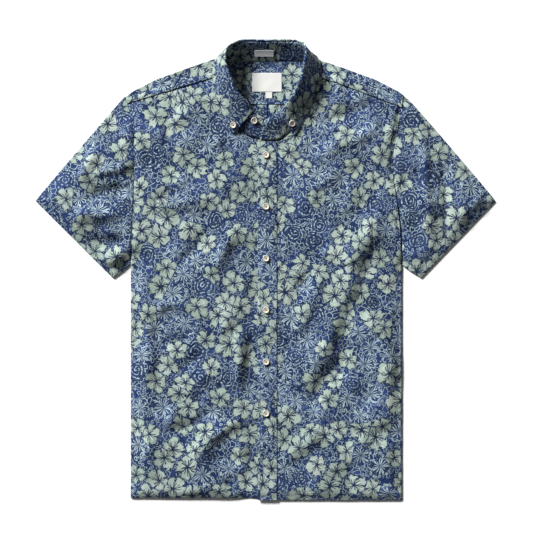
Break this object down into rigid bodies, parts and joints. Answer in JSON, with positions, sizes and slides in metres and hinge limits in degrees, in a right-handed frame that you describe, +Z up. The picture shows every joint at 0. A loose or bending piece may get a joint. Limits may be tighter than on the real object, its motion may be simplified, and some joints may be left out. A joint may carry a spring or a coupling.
{
  "type": "hawaiian shirt",
  "caption": "Short-sleeved floral shirt laid flat on its back, buttoned, with a button-down collar on a stand, a front placket and a pointed chest pocket.",
  "frame": {"origin": "middle of the shirt's bounding box in plan, on the surface that it lies on", "axes": "+X towards the wearer's left, which is the viewer's right; +Y from the hem to the collar; +Z up, out of the surface"},
  "size_m": [0.781, 0.7794, 0.0423],
  "materials": {
    "printed_cotton": "matt woven cotton with a flower print",
    "pearl_button": "cream with a soft gloss",
    "label_white": "woven satin, blank",
    "tag_grey": "woven, blank"
  },
  "bodies": {
    "root": {"back": "printed_cotton", "yoke": "printed_cotton", "front_left": "printed_cotton", "front_right": "printed_cotton", "placket": "printed_cotton", "pocket": "printed_cotton", "sleeve_left": "printed_cotton", "sleeve_right": "printed_cotton", "collar_stand": "printed_cotton", "collar_fall": "printed_cotton", "neck_label": "label_white", "size_tab": "label_white", "stand_tag": "tag_grey", "button_1": "pearl_button", "button_2": "pearl_button", "button_3": "pearl_button", "button_4": "pearl_button", "button_5": "pearl_button", "button_6": "pearl_button", "button_band": "pearl_button", "button_point_right": "pearl_button", "button_point_left": "pearl_button"}
  },
  "joints": []
}
